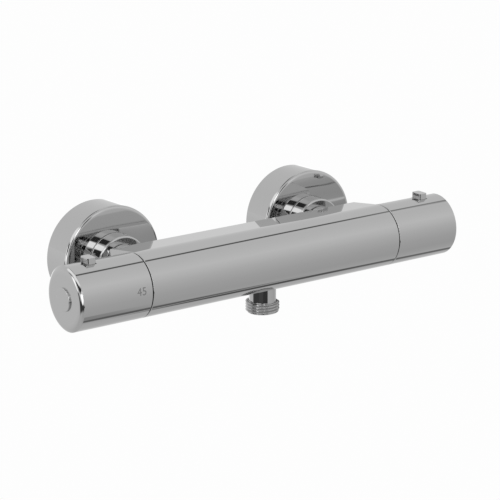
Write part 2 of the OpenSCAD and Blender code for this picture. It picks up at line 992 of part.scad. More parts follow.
module flow_cartridge_housing() {
    color("khaki")
        at_end(1)
            difference() {
                union() {
                    rod(cartridge_r, flow_housing_in, flange_end);
                    rod(flange_r, mouth_z, flange_end);
                    rod(neck_r, flange_end - over, neck_end);
                }
                rod(disc_bore_r, flow_housing_in - over, disc_bore_end);
                rod(relief_r, disc_bore_end - over, spindle_bore_start);
                rod(spindle_r + run_gap, spindle_bore_start - over, neck_end + over);
                radial_bars(ports, port_w, 2 * cartridge_r, flow_port_start, outlet_gallery_end);
                for (z = flow_ring_z)
                    ring_groove(cartridge_r, housing_groove_r, housing_ring_wire, z);
            }
}

module flow_cartridge_rings() {
    color("black")
        at_end(1)
            for (z = flow_ring_z)
                o_ring(housing_groove_r + housing_ring_wire, housing_ring_wire, z);
}

// Spindle with the carrier whose two dogs turn the moving disc
module flow_spindle() {
    color("darkkhaki")
        at_end(1)
            union() {
                spindle_outside();
                rod(spindle_r, carrier_start, spindle_bore_start);
                rod(moving_disc_r, carrier_start, carrier_end);
                for (side = [-1, 1])
                    translate([side * dog_r - dog_t / 2, -dog_w / 2, moving_disc_end])
                        cube([dog_t, dog_w, dog_len + carrier_t / 2]);
            }
}

module flow_spindle_ring() {
    color("black")
        at_end(1)
            spindle_ring();
}

module flow_thrust_washer() {
    color("ivory")
        at_end(1)
            tube(moving_disc_r, thrust_washer_bore_r, carrier_end + face_gap, disc_bore_end);
}

module flow_moving_disc() {
    color("white")
        at_end(1)
            difference() {
                rod(moving_disc_r, moving_disc_start, moving_disc_end);
                disc_windows(moving_disc_start - over, moving_disc_end + over, 90);
            }
}

module flow_fixed_disc() {
    color("white")
        at_end(1)
            difference() {
                rod(fixed_disc_r, fixed_disc_start, fixed_disc_start + disc_t);
                disc_windows(fixed_disc_start - over, fixed_disc_start + disc_t + over, 0);
            }
}

module flow_inlet_seal() {
    color("black")
        at_end(1)
            tube(fixed_disc_r, seal_bore_r, flow_seal_start, fixed_disc_start);
}

// Outlet

module outlet_nipple() {
    color("gainsboro")
        at_outlet()
            difference() {
                union() {
                    rod(outlet_neck_r, outlet_start, outlet_shoulder + over);
                    rod(half_inch_r, outlet_shoulder, outlet_reach - outlet_chamfer);
                    translate([0, 0, outlet_reach - outlet_chamfer])
                        cylinder(r1 = half_inch_r, r2 = half_inch_r - outlet_chamfer, h = outlet_chamfer);
                }
                rod(outlet_bore_r, outlet_start - over, outlet_reach + over);
                ring_groove(outlet_neck_r, outlet_groove_r, outlet_ring_wire, outlet_ring_z);
            }
}

module outlet_ring() {
    color("black")
        at_outlet()
            o_ring(outlet_groove_r + outlet_ring_wire, outlet_ring_wire, outlet_ring_z);
}

// Wall unions and what they carry

// Eccentric union: the wall tail sits below the barrel's axis
module wall_union() {
    difference() {
        union() {
            rod(barrel_r, barrel_start, shoulder_reach);
            rod(three_quarter_inch_r, shoulder_reach - over, washer_start);
            translate([0, -union_offset, 0])
                rod(half_inch_r, -wall_tail_len, barrel_start + over);
        }
        rod(union_bore_r, union_bore_start, washer_start + over);
        translate([0, -union_offset, 0])
            rod(union_tail_bore_r, -wall_tail_len - over, union_bore_start + over);
    }
}

// Half section of a plate's form, with its straight skirt, rounded rim and slightly raised face
module plate_form(inset) {
    square([plate_r - inset, plate_depth - plate_rim_r]);
    translate([face_r, plate_depth - plate_rim_r])
        circle(r = plate_rim_r - inset, $fn = fine);
    polygon([[0, 0], [face_r, 0], [face_r, plate_depth - inset], [plate_hole_r, plate_front - inset],
        [0, plate_front - inset]]);
}

// Half section of the spun plate: its form, hollow at the back, with the hole for the barrel
module plate_outline() {
    difference() {
        plate_form(0);
        plate_form(plate_wall);
        translate([-over, -over])
            square([plate_hole_r + over, plate_front + 2 * over]);
        translate([0, -over])
            square([plate_r - plate_wall, 2 * over]);
    }
}

module wall_plate() {
    rotate_extrude()
        plate_outline();
}

// Rubber ring that grips the barrel behind the plate's face
module plate_ring() {
    o_ring(barrel_r + plate_ring_r, plate_ring_r, plate_front - plate_wall - plate_ring_r - plate_ring_gap);
}

module union_nut() {
    rotate_extrude()
        difference() {
            union() {
                translate([tail_shank_r, nut_start + nut_edge_r])
                    square([barrel_r - tail_shank_r, nut_len - 2 * nut_edge_r]);
                translate([tail_shank_r, nut_start])
                    square([barrel_r - nut_edge_r - tail_shank_r, nut_len]);
                for (z = [nut_start + nut_edge_r, nut_end - nut_edge_r])
                    translate([barrel_r - nut_edge_r, z])
                        circle(r = nut_edge_r, $fn = fine);
            }
            translate([0, nut_start - over])
                square([three_quarter_inch_r + slip_gap, nut_len - nut_lip + over]);
            translate([0, nut_start - over])
                square([tail_shank_r + slip_gap, nut_len + 2 * over]);
        }
}

module union_washer() {
    tube(tail_flange_r, washer_bore_r, washer_start, tail_flange_start);
}

// Slotted cup that keeps grit out of the valve
module strainer() {
    start = strainer_end - strainer_len;
    difference() {
        union() {
            rod(strainer_r, start, strainer_end);
            rod(strainer_flange_r, strainer_end - strainer_flange_t, strainer_end);
        }
        rod(strainer_r - strainer_wall, start + strainer_wall, strainer_end + over);
        radial_bars(strainer_slots, strainer_slot_w, 2 * strainer_r, start + 2 * strainer_wall,
            strainer_end - strainer_flange_t - strainer_wall);
    }
}

// Flanged tail: it screws into the body's boss and holds the union nut captive
module inlet_tail() {
    difference() {
        union() {
            rod(tail_flange_r, tail_flange_start, tail_flange_end);
            rod(tail_shank_r, tail_flange_end - over, boss_start);
            rod(tail_thread_r, boss_start - over, tail_end);
        }
        rod(tail_lip_r, tail_flange_start - over, tail_end + over);
        rod(tail_bore_r, tail_flange_start - over, tail_end - tail_lip_t);
    }
}

module check_housing() {
    spider_start = check_end - check_spider_t;
    difference() {
        union() {
            tube(check_r, check_bore_r, check_start, check_end);
            tube(check_bore_r + over / 2, check_seat_r, check_start, check_start + check_seat_t);
            rod(check_hub_r, spider_start, check_end);
            radial_bars(check_spokes, check_spoke_w, check_bore_r + over / 2, spider_start, check_end);
        }
        rod(poppet_stem_r + run_gap, spider_start - over, check_end + over);
    }
}

// Poppet on its stem: the supply lifts it off its seat, towards the bar
module check_poppet() {
    rod(poppet_r, poppet_start, poppet_start + poppet_t);
    rod(poppet_stem_r, poppet_start + poppet_t - over, check_end + face_gap);
}

module check_spring() {
    coil(check_spring_r, check_spring_wire, poppet_start + poppet_t + snug_gap,
        check_end - check_spider_t - snug_gap, check_spring_turns);
}

module hot_wall_union() { color("silver") at_inlet(-1) wall_union(); }
module cold_wall_union() { color("silver") at_inlet(1) wall_union(); }
module hot_wall_plate() { color("gainsboro") at_inlet(-1) wall_plate(); }
module cold_wall_plate() { color("gainsboro") at_inlet(1) wall_plate(); }
module hot_plate_ring() { color("black") at_inlet(-1) plate_ring(); }
module cold_plate_ring() { color("black") at_inlet(1) plate_ring(); }
module hot_union_nut() { color("silver") at_inlet(-1) union_nut(); }
module cold_union_nut() { color("silver") at_inlet(1) union_nut(); }
module hot_union_washer() { color("firebrick") at_inlet(-1) union_washer(); }
module cold_union_washer() { color("firebrick") at_inlet(1) union_washer(); }
module hot_strainer() { color("lightgray") at_inlet(-1) strainer(); }
module cold_strainer() { color("lightgray") at_inlet(1) strainer(); }
module hot_inlet_tail() { color("goldenrod") at_inlet(-1) inlet_tail(); }
module cold_inlet_tail() { color("goldenrod") at_inlet(1) inlet_tail(); }
module hot_check_housing() { color("white") at_inlet(-1) check_housing(); }
module cold_check_housing() { color("white") at_inlet(1) check_housing(); }
module hot_check_poppet() { color("dodgerblue") at_inlet(-1) check_poppet(); }
module cold_check_poppet() { color("dodgerblue") at_inlet(1) check_poppet(); }
module hot_check_spring() { color("slategray") at_inlet(-1) check_spring(); }
module cold_check_spring() { color("slategray") at_inlet(1) check_spring(); }

body();
gallery_plug();
temperature_handle();
temperature_handle_screw();
temperature_handle_cap();
temperature_stop_button();
temperature_button_spring();
temperature_stop_ring();
temperature_cartridge_nut();
temperature_cartridge_housing();
temperature_cartridge_rings();
temperature_spindle();
temperature_spindle_ring();
regulator_driver();
overload_spring();
overload_spring_seat();
wax_element();
mixing_shuttle();
shuttle_return_spring();
flow_handle();
flow_handle_screw();
flow_handle_cap();
flow_stop_button();
flow_button_spring();
flow_stop_ring();
flow_cartridge_nut();
flow_cartridge_housing();
flow_cartridge_rings();
flow_spindle();
flow_spindle_ring();
flow_thrust_washer();
flow_moving_disc();
flow_fixed_disc();
flow_inlet_seal();
outlet_nipple();
outlet_ring();
hot_wall_union();
cold_wall_union();
hot_wall_plate();
cold_wall_plate();
hot_plate_ring();
cold_plate_ring();
hot_union_nut();
cold_union_nut();
hot_union_washer();
cold_union_washer();
hot_strainer();
cold_strainer();
hot_inlet_tail();
cold_inlet_tail();
hot_check_housing();
cold_check_housing();
hot_check_poppet();
cold_check_poppet();
hot_check_spring();
cold_check_spring();
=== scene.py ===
import math
from collections import namedtuple

import bmesh
import bpy
from mathutils import Matrix, Vector


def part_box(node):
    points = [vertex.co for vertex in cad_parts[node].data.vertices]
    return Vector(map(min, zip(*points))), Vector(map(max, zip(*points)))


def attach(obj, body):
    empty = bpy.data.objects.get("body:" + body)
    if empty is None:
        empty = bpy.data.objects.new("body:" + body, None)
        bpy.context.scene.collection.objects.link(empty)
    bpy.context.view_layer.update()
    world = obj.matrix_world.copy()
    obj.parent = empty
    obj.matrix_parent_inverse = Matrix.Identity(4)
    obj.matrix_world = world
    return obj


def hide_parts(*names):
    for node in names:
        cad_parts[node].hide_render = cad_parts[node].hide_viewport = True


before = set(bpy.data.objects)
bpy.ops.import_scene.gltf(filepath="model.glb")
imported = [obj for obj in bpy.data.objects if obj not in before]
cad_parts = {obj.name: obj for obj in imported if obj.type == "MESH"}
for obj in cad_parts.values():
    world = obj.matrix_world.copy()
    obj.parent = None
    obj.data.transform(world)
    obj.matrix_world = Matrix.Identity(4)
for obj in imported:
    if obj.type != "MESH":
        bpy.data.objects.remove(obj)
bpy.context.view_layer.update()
scene = bpy.context.scene
scene.view_settings.view_transform = "Standard"
MM = 0.001


# Sizes in millimetres, from the frame

Reach = namedtuple("Reach", "low high middle")


def reach_of(node):
    """Lowest corner, highest corner and middle of a node, in millimetres."""
    low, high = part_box(node)
    return Reach(low / MM, high / MM, (low + high) / 2 / MM)


HANDLE = reach_of("flow_handle")
PLATE = reach_of("cold_wall_plate")
NUT = reach_of("cold_union_nut")
OUTLET = reach_of("outlet_nipple")

BAR_R = (HANDLE.high.z - HANDLE.low.z) / 2
BAR_AXIS = Vector((0, HANDLE.middle.y, HANDLE.middle.z))
BODY_END = reach_of("body").high.x
HANDLE_IN = HANDLE.low.x
HANDLE_OUT = HANDLE.high.x
CAP_OUT = reach_of("flow_handle_cap").high.x
INLET_X = PLATE.middle.x
PLATE_R = (PLATE.high.z - PLATE.low.z) / 2
PLATE_FRONT = -PLATE.low.y
NUT_R = (NUT.high.z - NUT.low.z) / 2
NUT_BACK = -NUT.high.y
NUT_FRONT = -NUT.low.y
THREAD_R = (OUTLET.high.x - OUTLET.low.x) / 2

# Forms that the boxes don't give: lengths in millimetres, angles in radians
FLAT_FALL = math.radians(8.5)
BACK_REACH = 29.0
MOUTH_R = 16
MOUTH_DEPTH = 10
CHAMBER_R = 15
TEMPERATURE_CHAMBER = 50
FLOW_CHAMBER = 36.5
HANDLE_SKIN = BAR_R - 0.01
WINDOW_X = (121.55, 127.85)
WINDOW_Y = 4.35
TAB_EDGE = 0.22
THREAD_ROOT_R = 9.32
THREAD_PITCH = 1.814
THREAD_FLANK = math.radians(27.5)
THREAD_EDGE = 0.12

# Steps of a full turn
ROUND = 192
SMALL_ROUND = 96
THREAD_ROUND = 72
STAGE_ROUND = 64

# Points this near each other, in millimetres, are one point
SPUN_MERGE = 0.0005
MERGE = 0.001
CUT = 1e-5

# Edges sharper than these stay sharp, or are broken
SHARP = math.radians(38)
BROKEN = math.radians(35)

RIGHT = (1, 0, 0)
FORWARD = (0, -1, 0)
BACKWARD = (0, 1, 0)
DOWN = (0, 0, -1)
UP = (0, 0, 1)


# Modelling


def verts_of(geom):
    """The vertices among what an operator gives back."""
    return [item for item in geom if isinstance(item, bmesh.types.BMVert)]


def edges_of(geom):
    """The edges among what an operator gives back."""
    return [item for item in geom if isinstance(item, bmesh.types.BMEdge)]


def all_of(bm):
    """Everything that a piece is made of."""
    return bm.verts[:] + bm.edges[:] + bm.faces[:]


def section(bm, steps, closed=True):
    """Edges of a section, drawn as (along, out) points, some with a rounding.

    A step ("arc", along, out, degrees, steps) goes on from the last point round a centre.
    """
    verts = []
    corners = []
    for step in steps:
        if step[0] == "arc":
            swept = bmesh.ops.spin(
                bm, geom=[verts[-1]], cent=(step[1], 0, step[2]), axis=(0, 1, 0),
                angle=math.radians(step[3]), steps=step[4], use_duplicate=False,
            )
            verts.append(verts_of(swept["geom_last"])[0])
            continue
        vert = bm.verts.new((step[0], 0, step[1]))
        if verts:
            bm.edges.new((verts[-1], vert))
        verts.append(vert)
        if len(step) > 2:
            corners.append((vert, step[2]))
    if closed:
        bm.edges.new((verts[-1], verts[0]))
    for vert, radius in corners:
        one, two = [(edge.other_vert(vert).co - vert.co).normalized() for edge in vert.link_edges]
        bmesh.ops.bevel(
            bm, geom=[vert], offset=radius / math.tan(one.angle(two) / 2), offset_type="OFFSET",
            segments=min(24, max(3, math.ceil(radius * 4))), profile=0.5, affect="VERTICES",
            material=-1,
        )
    return bm


def spun(bm, steps=ROUND):
    """Turns a section about its axis into a round piece."""
    bmesh.ops.spin(
        bm, geom=bm.verts[:] + bm.edges[:], cent=(0, 0, 0), axis=(1, 0, 0), angle=math.tau,
        steps=steps, use_merge=True, use_duplicate=False,
    )
    bmesh.ops.remove_doubles(bm, verts=bm.verts, dist=SPUN_MERGE)
    return bm


def put(bm, origin, along, out):
    """Brings a drawn piece, in millimetres, to its place on the valve, in metres."""
    along = Vector(along)
    out = Vector(out)
    side = out.cross(along)
    origin = Vector(origin)
    rows = [(along[i] * MM, side[i] * MM, out[i] * MM, origin[i] * MM) for i in range(3)]
    bmesh.ops.transform(bm, matrix=Matrix(rows + [(0, 0, 0, 1)]), verts=bm.verts)
    return bm


def joined(first, *others):
    """Puts other shapes into the first one."""
    for other in others:
        mesh = bpy.data.meshes.new("shape")
        other.to_mesh(mesh)
        other.free()
        first.from_mesh(mesh)
        bpy.data.meshes.remove(mesh)
    return first


def even_normals(made):
    """Lets large faces lead the shading, up to the sharp edges."""
    normals = made.modifiers.new("even_normals", "WEIGHTED_NORMAL")
    normals.keep_sharp = True


def piece(bm, name, body, slot, *replaced, finish=None, even=True):
    """Makes the finished piece, which rides on a body and stands for its nodes."""
    bmesh.ops.recalc_face_normals(bm, faces=bm.faces)
    mesh = bpy.data.meshes.new(name)
    bm.to_mesh(mesh)
    bm.free()
    mesh.shade_smooth()
    mesh.set_sharp_from_angle(angle=SHARP)
    made = bpy.data.objects.new(name, mesh)
    scene.collection.objects.link(made)
    mesh.materials.append(FINISHES[finish or slot])
    if even:
        even_normals(made)
    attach(made, body)
    if replaced:
        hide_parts(*replaced)
    return made


# Bar


def boss(side):
    """Short neck on the back of the bar, with the bore for an inlet tail and a blind port."""
    neck_r, neck_end = 12.8, 34.5
    root = -BAR_AXIS.y - BACK_REACH
    bore_r, bore_floor = 9.6, root - 0.1
    port_r, port_end = 6, root + 3
    foot_r, foot_end = neck_r + 0.32, root + 0.8
    shell_r, shell_end = 7, root + 3.5
    bm = section(bmesh.new(), [
        (port_end, 0), (port_end, port_r), (bore_floor, port_r, 0.2), (bore_floor, bore_r),
        (neck_end, bore_r, 0.4), (neck_end, neck_r, 0.5), (root, neck_r, 0.3), (root, foot_r),
        (foot_end, foot_r), (foot_end, shell_r), (shell_end, shell_r), (shell_end, 0),
    ], closed=False)
    return put(spun(bm), (side * INLET_X, 0, BAR_AXIS.z), FORWARD, UP)


def chamber(depth):
    """Mouth and chamber of a cartridge, open at the bar's end."""
    mouth_floor, chamber_floor = BODY_END - MOUTH_DEPTH, BODY_END - depth
    return spun(section(bmesh.new(), [
        (BODY_END, MOUTH_R), (mouth_floor, MOUTH_R), (mouth_floor, CHAMBER_R),
        (chamber_floor, CHAMBER_R), (chamber_floor, 0),
    ], closed=False))


def outline(bm):
    """Outline of the bar's left end: an arc in front, two flats that fall and a flat back."""
    back_z = (BAR_R - BACK_REACH * math.sin(FLAT_FALL)) / math.cos(FLAT_FALL)
    back_round = 3.0
    top = bm.verts.new((-BODY_END, BAR_R * math.sin(FLAT_FALL), BAR_R * math.cos(FLAT_FALL)))
    front = bmesh.ops.spin(
        bm, geom=[top], cent=(0, 0, 0), axis=(1, 0, 0), angle=math.pi + 2 * FLAT_FALL, steps=120,
        use_duplicate=False,
    )
    bottom = verts_of(front["geom_last"])[0]
    corners = [bm.verts.new((-BODY_END, BACK_REACH, side * back_z)) for side in (-1, 1)]
    for pair in ((bottom, corners[0]), corners, (corners[1], top)):
        bm.edges.new(pair)
    half = (math.pi / 2 + FLAT_FALL) / 2
    bmesh.ops.bevel(
        bm, geom=corners, offset=back_round / math.tan(half), offset_type="OFFSET", segments=14,
        profile=0.5, affect="VERTICES", material=-1,
    )


def close_ends(bm):
    """Faces between the bar's skin and its mouths, with a broken outer edge."""
    for end in (-BODY_END, BODY_END):
        rims = [
            edge for edge in bm.edges
            if all(abs(vert.co.x - end) < MERGE for vert in edge.verts)
        ]
        bmesh.ops.bridge_loops(bm, edges=rims)
    bmesh.ops.recalc_face_normals(bm, faces=bm.faces)
    rims = [
        edge for edge in bm.edges
        if all(
            abs(abs(vert.co.x) - BODY_END) < MERGE and vert.co.yz.length > MOUTH_R + 1
            for vert in edge.verts
        )
        and edge.calc_face_angle(0) > 1
    ]
    bmesh.ops.bevel(
        bm, geom=rims, offset=0.35, offset_type="OFFSET", segments=4, profile=0.5,
        affect="EDGES", material=-1, clamp_overlap=False,
    )


def pocket_back(bm):
    """Round pockets in the bar's back, under the bosses, so that their ports are open."""
    pocket_r, pocket_depth = 11, 4
    back = max(
        (face for face in bm.faces if face.normal.y > 0.999), key=lambda face: face.calc_area()
    )
    edges = back.edges[:]
    bmesh.ops.delete(bm, geom=[back], context="FACES_ONLY")
    rings = []
    for side in (-1, 1):
        centre = Matrix.Translation((side * INLET_X, BACK_REACH, 0))
        made = bmesh.ops.create_circle(
            bm, segments=SMALL_ROUND, radius=pocket_r,
            matrix=centre @ Matrix.Rotation(math.pi / 2, 4, "X"),
        )
        rings.append(list(dict.fromkeys(
            edge for vert in made["verts"] for edge in vert.link_edges
        )))
    bmesh.ops.triangle_fill(bm, use_beauty=True, edges=edges + rings[0] + rings[1])
    for ring in rings:
        pocket = bmesh.ops.extrude_edge_only(bm, edges=ring)["geom"]
        bmesh.ops.translate(bm, vec=(0, -pocket_depth, 0), verts=verts_of(pocket))
        bmesh.ops.contextual_create(bm, geom=edges_of(pocket))


def bar():
    """The bar: round in front, flat on top, underneath and behind."""
    bm = bmesh.new()
    outline(bm)
    along = bmesh.ops.extrude_edge_only(bm, edges=bm.edges[:])
    bmesh.ops.translate(bm, vec=(2 * BODY_END, 0, 0), verts=verts_of(along["geom"]))
    left = chamber(TEMPERATURE_CHAMBER)
    half_turn = Matrix.Rotation(math.pi, 3, "Z")
    bmesh.ops.rotate(left, cent=(0, 0, 0), matrix=half_turn, verts=left.verts)
    joined(bm, left, chamber(FLOW_CHAMBER))
    close_ends(bm)
    pocket_back(bm)
    put(bm, BAR_AXIS, RIGHT, UP)
    return joined(bm, boss(-1), boss(1))


# Handles


def slit(bm, faces, spot, normal):
    """Cuts some faces along a plane."""
    parts = list(dict.fromkeys(part for face in faces for part in (*face.verts, *face.edges)))
    bmesh.ops.bisect_plane(bm, geom=faces + parts, dist=CUT, plane_co=spot, plane_no=normal)


def cut_window(bm):
    """Opens the handle's wall for the stop button."""
    low, high = WINDOW_X
    wall_z, wall_r, wall_x, margin = 15, 16.5, 137, 1

    def wall(face):
        middle = face.calc_center_median()
        return (
            middle.z > wall_z and middle.yz.length > wall_r
            and abs(middle.y) < WINDOW_Y + margin and middle.x < wall_x
        )

    def inside(face):
        return wall(face) and low < face.calc_center_median().x < high

    for spot in (low, high):
        slit(bm, [face for face in bm.faces if wall(face)], (spot, 0, 0), (1, 0, 0))
    for spot in (-WINDOW_Y, WINDOW_Y):
        slit(bm, [face for face in bm.faces if inside(face)], (0, spot, 0), (0, 1, 0))
    gone = [
        face for face in bm.faces
        if inside(face) and abs(face.calc_center_median().y) < WINDOW_Y
    ]
    bmesh.ops.delete(bm, geom=gone, context="FACES")
    bmesh.ops.bridge_loops(bm, edges=[edge for edge in bm.edges if edge.is_boundary])


def handle(side, name, body, node):
    """Hollow turning handle with a rounded end, a hub inside and a seat for its cap."""
    bevel_x = HANDLE_OUT - 1.75
    crown_x, crown_r = HANDLE_OUT - 0.3, 18.0
    flat_r = HANDLE_SKIN - 4.0
    seat_x, seat_r = 134, 6.9
    screw_r = 2.3
    socket_x, socket_r = 128.5, 5
    hub_x, hub_r = 113.1, 8.2
    cavity_x, cavity_r = 137.5, 17.3
    bm = spun(section(bmesh.new(), [
        (HANDLE_IN, cavity_r, 0.3), (HANDLE_IN, HANDLE_SKIN, 0.4), (bevel_x, HANDLE_SKIN, 0.5),
        (crown_x, crown_r, 4), (HANDLE_OUT, flat_r, 8), (HANDLE_OUT, seat_r, 0.2),
        (seat_x, seat_r), (seat_x, screw_r), (socket_x, screw_r), (socket_x, socket_r),
        (hub_x, socket_r), (hub_x, hub_r, 0.3), (cavity_x, hub_r, 0.6), (cavity_x, cavity_r, 1),
    ]))
    cut_window(bm)
    put(bm, BAR_AXIS, (side, 0, 0), UP)
    return piece(bm, name, body, "chrome", node)


def cap(side, name, body, node):
    """Small round cap in the middle of a handle's end."""
    rim_r, plug_r = 7.1, 6.8
    plug_end = HANDLE_OUT - 3.5
    bm = spun(section(bmesh.new(), [
        (CAP_OUT, 0), (CAP_OUT, rim_r, 0.35), (HANDLE_OUT, rim_r, 0.1), (HANDLE_OUT, plug_r),
        (plug_end, plug_r, 0.3), (plug_end, 0),
    ], closed=False))
    put(bm, BAR_AXIS, (side, 0, 0), UP)
    return piece(bm, name, body, "chrome", node)


def softened(node, name, body, slot, width):
    """A node's own shape with its edges broken, for a moulded piece."""
    bm = bmesh.new()
    bm.from_mesh(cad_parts[node].data)
    bmesh.ops.remove_doubles(bm, verts=bm.verts, dist=MERGE * MM)
    bmesh.ops.dissolve_limit(bm, angle_limit=math.radians(0.5), verts=bm.verts, edges=bm.edges)
    made = piece(bm, name, body, slot, node, even=False)
    edges = made.modifiers.new("broken_edges", "BEVEL")
    edges.width = width * MM
    edges.segments = 3
    edges.limit_method = "ANGLE"
    edges.angle_limit = BROKEN
    even_normals(made)
    return made


def dial_number(words, height, middle_x, rise):
    """Printed number that follows the handle's curve."""
    bands, ink, overlap = 12, 0.02, 0.0005
    letters = bpy.data.curves.new(words, "FONT")
    letters.body = words
    letters.align_x = "CENTER"
    letters.align_y = "CENTER"
    letters.resolution_u = 6
    drawn = bpy.data.objects.new(words, letters)
    scene.collection.objects.link(drawn)
    bpy.context.view_layer.update()
    flat = drawn.to_mesh()
    bm = bmesh.new()
    bm.from_mesh(flat)
    drawn.to_mesh_clear()
    bpy.data.objects.remove(drawn)
    bmesh.ops.remove_doubles(bm, verts=bm.verts, dist=CUT)
    tall = max(vert.co.y for vert in bm.verts) - min(vert.co.y for vert in bm.verts)
    bmesh.ops.scale(bm, vec=(height / tall,) * 3, verts=bm.verts)
    for level in range(-bands // 2, bands // 2 + 1):
        bmesh.ops.bisect_plane(
            bm, geom=all_of(bm), dist=CUT, plane_co=(0, level * height / bands, 0),
            plane_no=(0, 1, 0),
        )
    under = bmesh.ops.extrude_face_region(bm, geom=bm.faces[:])
    bmesh.ops.translate(bm, vec=(0, 0, -ink), verts=verts_of(under["geom"]))
    for vert in bm.verts:
        turn = math.radians(rise) + vert.co.y / BAR_R
        out = BAR_R - overlap + vert.co.z
        vert.co = Vector((middle_x + vert.co.x, -out * math.cos(turn), out * math.sin(turn)))
    return put(bm, BAR_AXIS, RIGHT, UP)


# Wall fittings and outlet


def threaded(start, end, bore, chamfer, turn_start=0.0):
    """Tube with a cut half-inch pipe thread, from its start to its chamfered end."""
    crest, root = THREAD_R, THREAD_ROOT_R
    turns = math.ceil((end - start) / THREAD_PITCH) + 2
    flank = (crest - root) * math.tan(THREAD_FLANK)
    flat = (THREAD_PITCH - 2 * flank) / 2
    bm = section(bmesh.new(), [
        (0, root), (flat, root, THREAD_EDGE), (flat + flank, crest, THREAD_EDGE),
        (2 * flat + flank, crest, THREAD_EDGE), (THREAD_PITCH, root),
    ], closed=False)
    bmesh.ops.translate(bm, vec=(start - THREAD_PITCH, 0, 0), verts=bm.verts)
    first_angle = Matrix.Rotation(math.radians(turn_start), 3, "X")
    bmesh.ops.rotate(bm, cent=(0, 0, 0), matrix=first_angle, verts=bm.verts)
    bmesh.ops.spin(
        bm, geom=bm.verts[:] + bm.edges[:], cent=(0, 0, 0), axis=(1, 0, 0),
        dvec=(THREAD_PITCH / THREAD_ROUND, 0, 0), angle=math.tau, steps=THREAD_ROUND,
        use_duplicate=False,
    )
    first_turn = all_of(bm)
    for turn in range(1, turns):
        copy = bmesh.ops.duplicate(bm, geom=first_turn)
        bmesh.ops.translate(bm, vec=(turn * THREAD_PITCH, 0, 0), verts=verts_of(copy["geom"]))
    bmesh.ops.remove_doubles(bm, verts=bm.verts, dist=MERGE)
    for spot, outer, inner in (
        (start, False, True), (end, True, False), (end - chamfer, False, False),
    ):
        bmesh.ops.bisect_plane(
            bm, geom=all_of(bm), dist=CUT, plane_co=(spot, 0, 0), plane_no=(1, 0, 0),
            clear_outer=outer, clear_inner=inner,
        )
    for vert in bm.verts:
        most = crest + min(0, end - chamfer - vert.co.x)
        far = vert.co.yz.length
        if far > most:
            vert.co.yz = vert.co.yz * (most / far)
    inside = section(bmesh.new(), [(start, bore), (end, bore)], closed=False)
    joined(bm, spun(inside, THREAD_ROUND))
    bmesh.ops.remove_doubles(bm, verts=bm.verts, dist=MERGE)
    for spot in (start, end):
        rims = [
            edge for edge in bm.edges
            if edge.is_boundary and all(abs(vert.co.x - spot) < 0.01 for vert in edge.verts)
        ]
        bmesh.ops.bridge_loops(bm, edges=rims)
    return bm


def wall_plate(side, name, node):
    """Spun plate: slightly tapered skirt, rounded rim and a nearly flat face up to the barrel."""
    rim_round, face_rise, face_dome = 2.2, 0.55, 0.1
    hole_r, thickness, draft = 17.45, 1.2, 0.75
    rim = Vector((PLATE_FRONT - face_rise, PLATE_R - rim_round))
    hole = Vector((PLATE_FRONT, hole_r))
    slope = hole - rim
    dome_r = slope.length ** 2 / (8 * face_dome) + face_dome / 2
    outward = Vector((-slope.y, slope.x)).normalized()
    centre = (rim + hole) / 2 - (dome_r - face_dome) * outward
    sweep = math.degrees(2 * math.asin(slope.length / (2 * dome_r)))
    skirt_in = PLATE_R - thickness
    bm = spun(section(bmesh.new(), [
        (0, skirt_in - draft, 0.2), (0, PLATE_R - draft, 0.3), (rim.x, PLATE_R, rim_round),
        rim[:], ("arc", *centre, sweep, 32), (PLATE_FRONT - thickness, hole_r),
        (rim.x - thickness, rim.y), (rim.x - thickness, skirt_in),
    ]))
    put(bm, (side * INLET_X, 0, BAR_AXIS.z), FORWARD, UP)
    return piece(bm, name, "valve_body", "chrome", node, finish="spun_chrome")


def wall_union(side, name, node):
    """Eccentric union: a threaded tail in the wall, and a round barrel above its axis."""
    barrel_back, barrel_front = 4, 24.5
    nose_r, nose_end = 13.22, 29
    bore_r, bore_floor = 9.5, 8
    tail_front, tail_back = -5, 18
    barrel = spun(section(bmesh.new(), [
        (bore_floor, 0), (bore_floor, bore_r), (nose_end, bore_r, 0.3), (nose_end, nose_r, 0.5),
        (barrel_front, nose_r), (barrel_front, NUT_R, 0.5), (barrel_back, NUT_R, 0.6),
        (barrel_back, 0),
    ], closed=False))
    put(barrel, (side * INLET_X, 0, BAR_AXIS.z), FORWARD, UP)
    tail = threaded(tail_front, tail_back, bore=7, chamfer=1)
    put(tail, (side * INLET_X, 0, 0), BACKWARD, UP)
    return piece(joined(barrel, tail), name, "valve_body", "chrome", node)


def union_nut(side, name, node):
    """Round polished nut that draws the union onto the bar."""
    inner_r, hole_r = 13.32, 11.1
    collar = NUT_FRONT - 1.8
    bm = spun(section(bmesh.new(), [
        (NUT_BACK, inner_r, 0.3), (NUT_BACK, NUT_R, 0.2), (NUT_FRONT, NUT_R, 1.2),
        (NUT_FRONT, hole_r, 0.3), (collar, hole_r), (collar, inner_r),
    ]))
    put(bm, (side * INLET_X, 0, BAR_AXIS.z), FORWARD, UP)
    return piece(bm, name, "valve_body", "chrome", node)


def outlet():
    """Smooth neck and half-inch thread under the bar."""
    bore_r, neck_r, shoulder_r = 6, 8.4, 9.3
    neck_top, neck_end, thread_end = 13.3, 26.5, 33
    shoulder_end = neck_end + 0.1
    neck = spun(section(bmesh.new(), [
        (neck_top, bore_r), (neck_top, neck_r), (neck_end, neck_r, 0.3),
        (neck_end, shoulder_r, 0.2), (shoulder_end, shoulder_r), (shoulder_end, bore_r),
    ]), SMALL_ROUND)
    thread = threaded(neck_end, thread_end, bore=bore_r, chamfer=0.7, turn_start=60)
    bm = joined(neck, thread)
    put(bm, (OUTLET.middle.x, BAR_AXIS.y, BAR_AXIS.z), DOWN, RIGHT)
    return piece(bm, "outlet_pipe", "valve_body", "chrome", "outlet_nipple")


# Finishes


